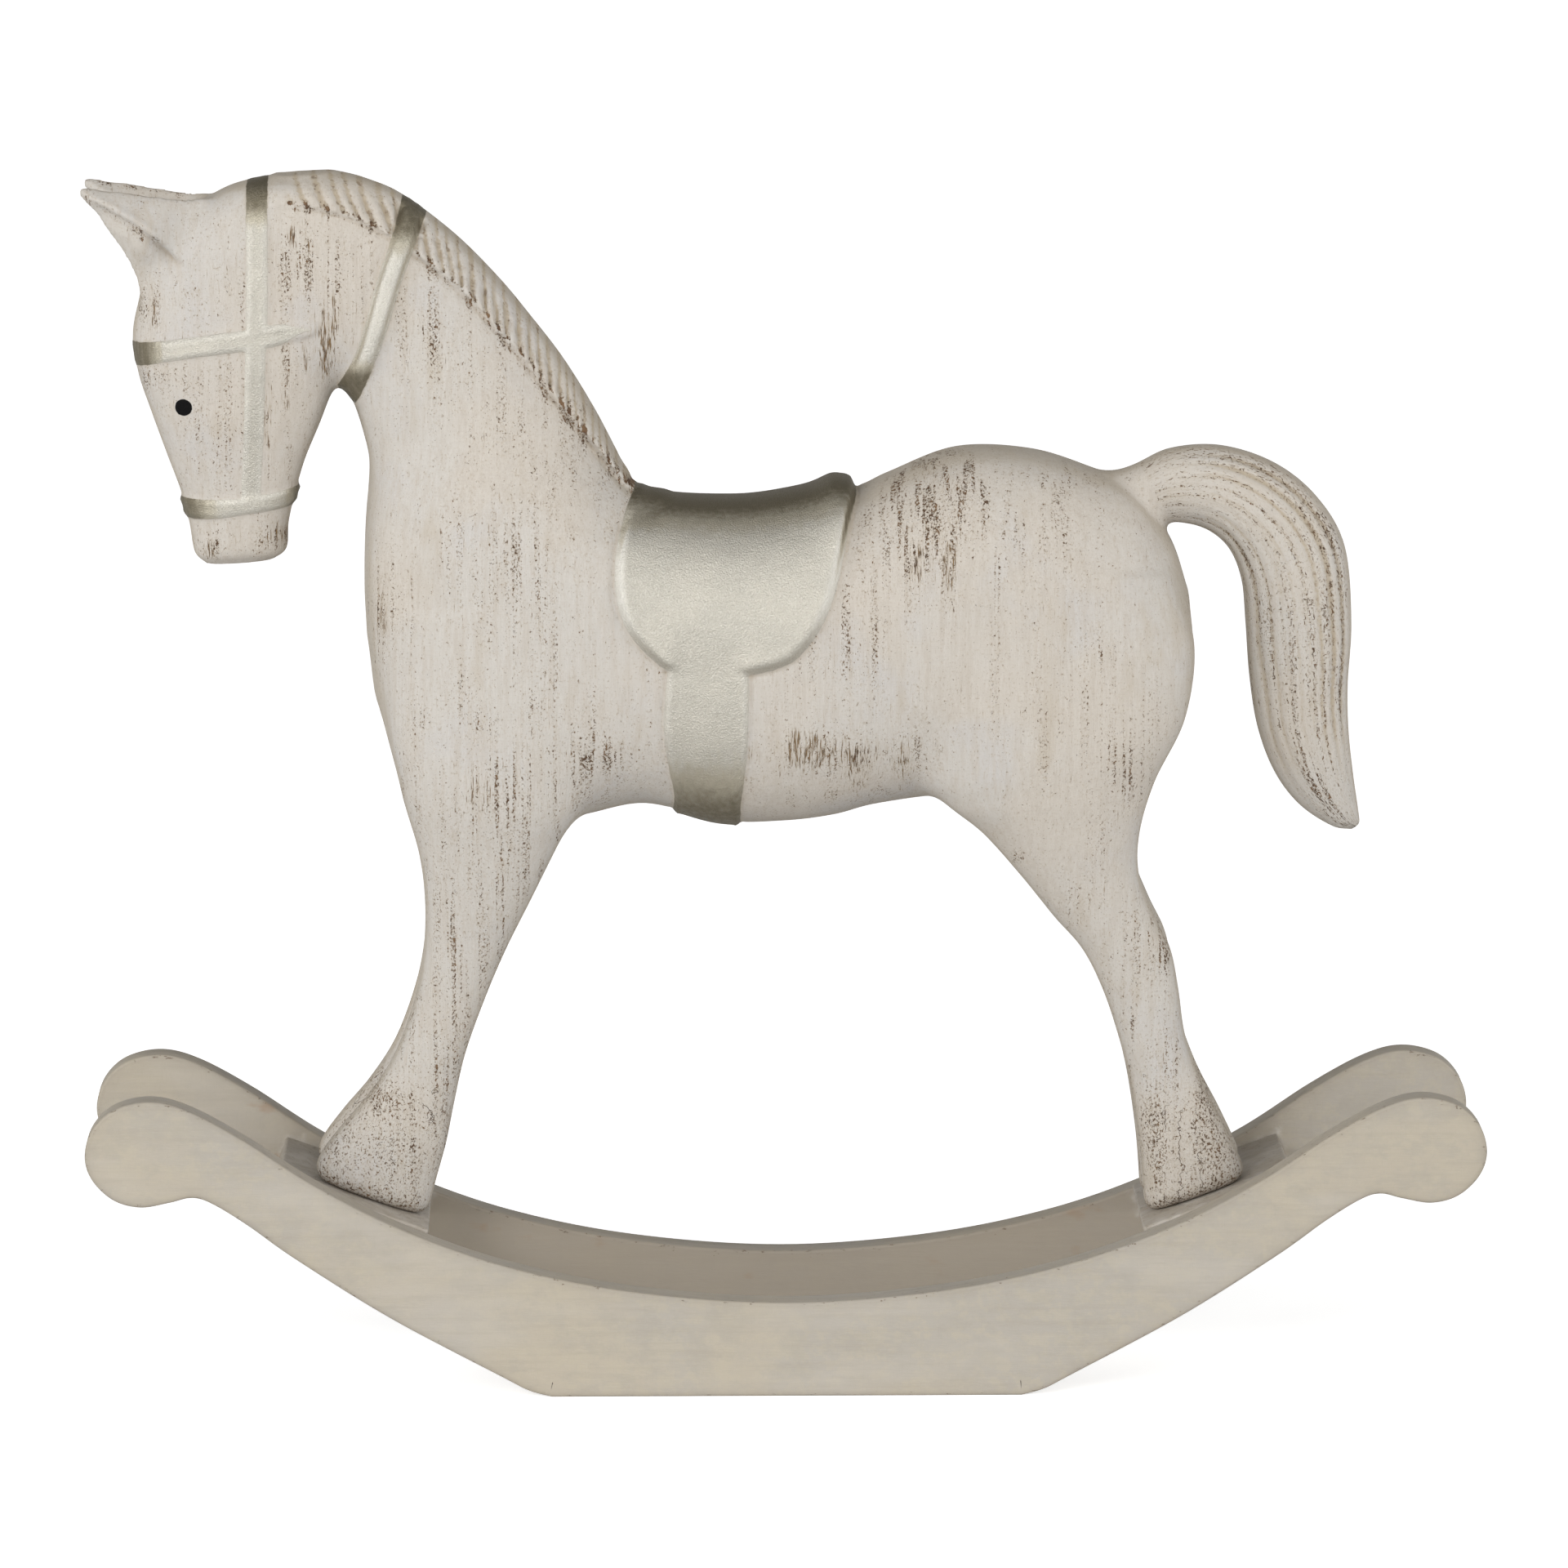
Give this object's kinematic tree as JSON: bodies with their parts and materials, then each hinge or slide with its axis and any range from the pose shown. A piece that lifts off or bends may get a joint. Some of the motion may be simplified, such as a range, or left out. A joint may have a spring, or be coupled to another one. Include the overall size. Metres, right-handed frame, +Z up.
{
  "type": "rocking horse",
  "caption": "Carved wooden rocking horse with painted saddle and bridle relief, standing on two cross slats between two curved rocker boards with a flat resting stretch",
  "frame": {"origin": "centre of the overall box, on the floor under the flat stretch of the rocker boards", "axes": "+X runs along the rocker boards from the nose to the tail, +Y from the near side to the far side, +Z up"},
  "size_m": [0.5994, 0.12, 0.5205],
  "materials": {
    "whitewash_paint": "matte whitewash, brushed and worn through to brown",
    "greige_paint": "matte paint with faint grain",
    "beech": "plain",
    "steel": "zinc plated"
  },
  "bodies": {
    "root": {"rocker_board_near": "greige_paint", "rocker_board_far": "greige_paint", "cross_slat_front": "greige_paint", "cross_slat_rear": "greige_paint", "head": "whitewash_paint", "neck": "whitewash_paint", "torso": "whitewash_paint", "tail": "whitewash_paint", "leg_front_near": "whitewash_paint", "leg_hind_near": "whitewash_paint", "leg_front_far": "whitewash_paint", "leg_hind_far": "whitewash_paint", "neck_dowel_front": "beech", "neck_dowel_rear": "beech", "head_dowel_lower": "beech", "head_dowel_upper": "beech", "tail_dowel": "beech", "leg_dowel_front_near": "beech", "leg_dowel_front_far": "beech", "leg_dowel_hind_near": "beech", "leg_dowel_hind_far": "beech", "slat_dowel_front_near_inner": "beech", "slat_dowel_front_near_outer": "beech", "slat_dowel_front_far_inner": "beech", "slat_dowel_front_far_outer": "beech", "slat_dowel_rear_near_inner": "beech", "slat_dowel_rear_near_outer": "beech", "slat_dowel_rear_far_inner": "beech", "slat_dowel_rear_far_outer": "beech", "hoof_screw_front_near": "steel", "hoof_screw_front_far": "steel", "hoof_screw_rear_near": "steel", "hoof_screw_rear_far": "steel"}
  },
  "joints": []
}
